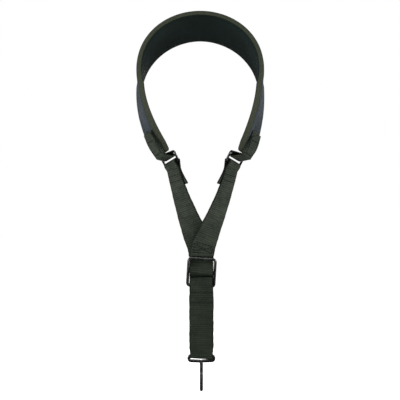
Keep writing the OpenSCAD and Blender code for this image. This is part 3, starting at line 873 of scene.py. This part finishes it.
def lower_strap_path():
    """(path, cuts): the tail, over the bottom bar, down to the hook's eye, up again and through the slider."""
    tail = [(5.1, 84.0), (5.1, 88.0), (5.15, 93.0), (5.9, 97.3), (7.5, 101.8), (SLIDER_Y + FOLD_OUT, 106.0)]
    over = [(SLIDER_Y + FOLD_OUT * math.cos(a), FOLD_BAR_Z + FOLD_OUT * math.sin(a))
            for a in np.radians(np.linspace(0, 180, 19))]
    front = [(FRONT_Y, 106.0), (FRONT_Y, 103.0), (FRONT_Y, FRONT_TOP_Z)]
    run = [(float(mix(FRONT_Y, EYE_Y - EYE_TURN, s)), float(mix(FRONT_TOP_Z, RUN_BOTTOM_Z, s)))
           for s in np.linspace(0, 1, 30)[1:]]
    eye = [(EYE_Y - EYE_TURN * math.cos(a), EYE_Z - EYE_SAG - EYE_TURN * math.sin(a))
           for a in np.radians(np.linspace(0, 180, 25))]
    back = [(float(mix(BACK_LINE[0][0], BACK_Y, s)), float(mix(RUN_BOTTOM_Z, BACK_TOP_Z, s)))
            for s in np.linspace(0, 1, 30)]
    weave = smooth_line(WEAVE_LINE)[1:].tolist()
    parts = [smooth_line(tail)[:-1].tolist(), over, front, run, eye, back, weave]
    line = [tuple(p) for part in parts for p in part]
    lengths = np.concatenate([[0], np.cumsum(np.linalg.norm(np.diff(np.array(line), axis=0), axis=1))])
    ends = np.cumsum([len(part) for part in parts]) - 1
    cuts = {"front_top": lengths[ends[2]], "front_bottom": lengths[ends[3]],
            "back_bottom": lengths[ends[4] + 1], "back_top": lengths[ends[5]]}
    at_eye = np.array([bump(z, EYE_Z - 1, 3.5) for _, z in line])
    pinched = np.array([slider_pinch(z) for _, z in line])
    widths = np.where(lengths < cuts["front_bottom"], pinched, WEB_W - 0.4) - 1.8 * at_eye
    at_bar = np.array([bump(z, CENTER_BAR_Z, 4.5) for _, z in line]) * (lengths > cuts["back_top"])
    at_fold = np.array([bump(z, FOLD_BAR_Z + 2, 3.5) for _, z in line]) * (lengths < cuts["front_top"])
    tilts = BAR_TILT * at_bar + EYE_TILT * at_eye - FOLD_TILT * at_fold
    return Path(strap_stations(line, widths, tilts=tilts)), cuts


def slider_pinch(z):
    """Webbing width: drawn in where it is folded between the slider's sides."""
    return WEB_W + 0.2 - 2.8 * ease((z - 92) / 12)


def build_lower_strap():
    path, cuts = lower_strap_path()
    fold = webbing("slider_fold_webbing", path, 0.0, cuts["front_top"], SHADED_STRAP_WEB, sealed=(True, False))
    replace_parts(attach(fold, "slider"), "strap_slider_fold")
    front = webbing("front_run_webbing", path, cuts["front_top"], cuts["front_bottom"], SHADED_STRAP_WEB)
    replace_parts(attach(front, "slider"), "strap_front_run")
    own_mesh(front)
    eye = webbing("hook_fold_webbing", path, cuts["front_bottom"], cuts["back_bottom"], SHADED_STRAP_WEB)
    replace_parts(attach(eye, "hook_loop"), "strap_hook_fold")
    back = webbing("back_run_webbing", path, cuts["back_bottom"], cuts["back_top"], SHADED_STRAP_WEB)
    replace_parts(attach(back, "slider"), "strap_back_run")
    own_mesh(back)
    weave = webbing("slider_weave_webbing", path, cuts["back_top"], path.length, SHADED_STRAP_WEB)
    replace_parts(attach(weave, "slider"), "strap_slider_weave")
    marks = []
    y = FRONT_Y - WEB_T / 2 + 0.02
    for z in FOLD_STITCH_Z:
        marks += [(np.array([x, y, z]), X, -Y) for x in np.arange(-9.9, 10, STITCH_PITCH)]
    thread = stitches("slider_fold_threads", marks, THREAD)
    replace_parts(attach(thread, "slider"), "slider_fold_stitching")


# ---------- hook ----------
def build_hook():
    """One wire: the tip, the hook, the shank, and round the eye back to the shank, where it is welded."""
    tip_z, low_z, half = 15.3, 27.6, 12.9
    shank_bend, eye_bend = 2.3, 2.8
    bend = [(0, -HOOK_R * math.cos(a), 5 - HOOK_R * math.sin(a)) for a in np.radians(np.linspace(0, 180, 33))]
    corners = [(0, EYE_Y, 5.2), (0, EYE_Y, low_z - 0.4), (-half, EYE_Y, low_z), (-half, EYE_Y, EYE_Z),
               (half, EYE_Y, EYE_Z), (half, EYE_Y, low_z), (0.6, EYE_Y, low_z - 0.3)]
    line = [(0, -HOOK_R, tip_z), (0, -HOOK_R, 10), *bend, *rounded(corners, [shank_bend, *[eye_bend] * 4])]
    hook = wire("hook_wire", line, WIRE_R, BLACK_WIRE)
    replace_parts(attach(hook, "hook"), "hook")


# ---------- CAD pieces that are shown as they are ----------
def dress_cad_wire():
    for name in ("left_ring", "right_ring", "slider_frame", "slider_center_bar"):
        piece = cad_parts[name]
        piece.data.materials.clear()
        piece.data.materials.append(BLACK_WIRE)


# ---------- stage ----------
CAMERA_AT = (-1.45, -1593.1, 193.1)
VIEW_DISTANCE, VIEW_HALF = 1600.0, 206.0


def build_floor():
    mesh = bpy.data.meshes.new("studio_floor")
    size, level = 8.0, -0.035
    corners = [(-size, -size, level), (size, -size, level), (size, size, level), (-size, size, level)]
    mesh.from_pydata(corners, [], [(0, 1, 2, 3)])
    s = Shader("pale_floor")
    tone = s.noise(s.texture_space, 3.0)
    s.finish(s.blend(tone, srgb(244, 244, 243), srgb(250, 250, 250)), 0.9, Emission_Color=(1, 1, 1, 1),
             Emission_Strength=0.85)
    mesh.materials.append(s.material)
    floor = bpy.data.objects.new("studio_floor", mesh)
    bpy.context.scene.collection.objects.link(floor)
    floor.visible_glossy = False


def build_world(seen, lighting, mirrored):
    """White surroundings: fully white to the camera, softer as a light, and dim in reflections."""
    world = bpy.data.worlds.new("studio")
    world.use_nodes = True
    nodes, links = world.node_tree.nodes, world.node_tree.links
    background = nodes["Background"]
    background.inputs["Color"].default_value = (1, 1, 1, 1)
    path = nodes.new("ShaderNodeLightPath")
    unseen = nodes.new("ShaderNodeMapRange")
    unseen.inputs["To Min"].default_value = lighting
    unseen.inputs["To Max"].default_value = mirrored
    strength = nodes.new("ShaderNodeMapRange")
    strength.inputs["To Max"].default_value = seen
    links.new(path.outputs["Is Glossy Ray"], unseen.inputs["Value"])
    links.new(unseen.outputs["Result"], strength.inputs["To Min"])
    links.new(path.outputs["Is Camera Ray"], strength.inputs["Value"])
    links.new(strength.outputs["Result"], background.inputs["Strength"])
    bpy.context.scene.world = world


def softbox(name, at, toward, size, power):
    light = bpy.data.lights.new(name, "AREA")
    light.shape, light.size, light.size_y, light.energy = "RECTANGLE", size[0], size[1], power
    lamp = bpy.data.objects.new(name, light)
    lamp.location = at
    lamp.rotation_euler = (Vector(toward) - Vector(at)).to_track_quat("-Z", "Y").to_euler()
    bpy.context.scene.collection.objects.link(lamp)


def build_camera():
    data = bpy.data.cameras.new("camera")
    data.lens = data.sensor_width / 2 * VIEW_DISTANCE / VIEW_HALF
    camera = bpy.data.objects.new("camera", data)
    camera.location = [c * MM for c in CAMERA_AT]
    camera.rotation_euler = (math.radians(90), 0, 0)
    bpy.context.scene.collection.objects.link(camera)
    bpy.context.scene.camera = camera


def build_studio():
    bpy.context.scene.view_settings.view_transform = "Standard"
    build_floor()
    build_world(seen=1.0, lighting=0.20, mirrored=0.04)
    softbox("key", (-1.3, -0.45, 0.70), (0, 0, 0.2), (0.6, 0.8), 23)
    softbox("fill", (1.3, -0.45, 0.60), (0, 0, 0.2), (0.6, 0.8), 20)
    softbox("top", (-0.2, -0.7, 1.3), (0, 0, 0.3), (1.0, 0.25), 5)
    softbox("back", (0.5, 1.4, 0.8), (0, 0, 0.25), (0.9, 0.6), 9)
    build_camera()


build_pad()
build_tab(LEFT, "left", 2.0, 0.0, 0.8)
build_tab(RIGHT, "right", 1.0, -1.6, 5.0)
build_leg(LEFT, "left")
build_leg(RIGHT, "right")
build_yoke_stitching()
build_upper_run()
build_lower_strap()
build_hook()
dress_cad_wire()
build_studio()
